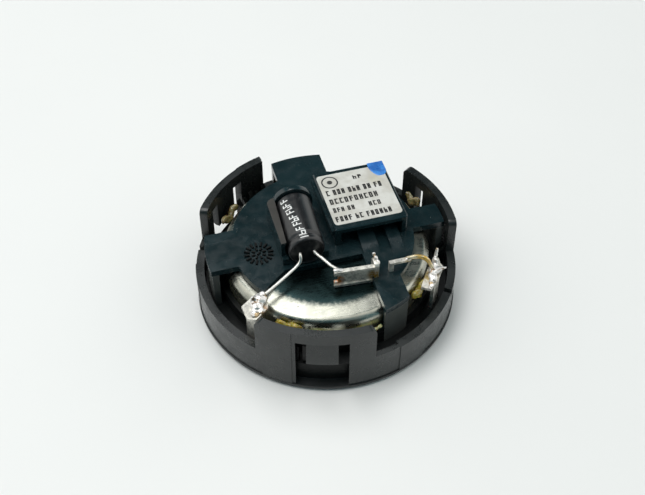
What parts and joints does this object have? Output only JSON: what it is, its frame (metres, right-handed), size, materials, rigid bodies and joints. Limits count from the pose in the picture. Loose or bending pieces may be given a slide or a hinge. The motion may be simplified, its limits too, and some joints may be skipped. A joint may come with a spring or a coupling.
{
  "type": "car tweeter",
  "caption": "Round dome tweeter for a car trim panel, lying face down, with a snap-in housing, metal motor cup, rear cover, plug socket and series capacitor.",
  "frame": {"origin": "on the speaker's axis, in the plane of the front face that the part lies on", "axes": "+Z from the listening side to the rear side, along the speaker's axis; +Y the way the plug socket opens; +X from the capacitor towards the socket"},
  "size_m": [0.0482, 0.0482, 0.0209],
  "materials": {
    "housing": "moulded, fine satin",
    "front_bezel": "moulded, fine satin",
    "protective_grille": "black paint",
    "spacer_ring": "matt",
    "foam_gasket": "soft foam",
    "face_plate": "moulded, satin",
    "dome_diaphragm": "coated cloth",
    "surround": "coated cloth",
    "voice_coil_former": "thin foil",
    "voice_coil": "enamelled copper wire",
    "damping_pad": "felt",
    "pole_plate": "zinc plated",
    "pole_ring": "zinc plated",
    "magnet": "nickel plated",
    "yoke_cup": "plated, slightly stained",
    "rear_cover": "moulded, fine satin",
    "contact_left": "tinned, dull",
    "contact_right": "tinned, dull",
    "capacitor_can": "bright drawn",
    "capacitor_sleeve": "shrunk film",
    "capacitor_bung": "smooth",
    "capacitor_lead_left": "tinned copper",
    "capacitor_lead_right": "tinned copper",
    "solder_lug_left": "tinned, stained",
    "solder_lug_right": "tinned, stained",
    "lead_out_left": "flexible wire",
    "lead_out_right": "flexible wire",
    "link_wire": "tinned, flux stained",
    "solder_joints": "solder, flux stained",
    "glue_beads": "set contact glue",
    "label": "printed, satin",
    "paint_mark": "dried paint"
  },
  "bodies": {
    "body": {"housing": "housing", "front_bezel": "front_bezel", "protective_grille": "protective_grille", "spacer_ring": "spacer_ring", "foam_gasket": "foam_gasket", "face_plate": "face_plate", "surround": "surround", "damping_pad": "damping_pad", "pole_plate": "pole_plate", "pole_ring": "pole_ring", "magnet": "magnet", "yoke_cup": "yoke_cup", "rear_cover": "rear_cover", "contact_left": "contact_left", "contact_right": "contact_right", "capacitor_can": "capacitor_can", "capacitor_sleeve": "capacitor_sleeve", "capacitor_bung": "capacitor_bung", "capacitor_lead_left": "capacitor_lead_left", "capacitor_lead_right": "capacitor_lead_right", "solder_lug_left": "solder_lug_left", "solder_lug_right": "solder_lug_right", "lead_out_left": "lead_out_left", "lead_out_right": "lead_out_right", "link_wire": "link_wire", "solder_joints": "solder_joints", "glue_beads": "glue_beads", "label": "label", "paint_mark": "paint_mark"},
    "diaphragm": {"dome_diaphragm": "dome_diaphragm", "voice_coil_former": "voice_coil_former", "voice_coil": "voice_coil"}
  },
  "joints": [
    {"name": "diaphragm_stroke", "type": "slide", "parent": "body", "child": "diaphragm", "axis": [0, 0, 1], "range_m": [-0.00025, 0.00025], "stiffness_N_per_m": 100, "deforming": ["surround"]}
  ]
}
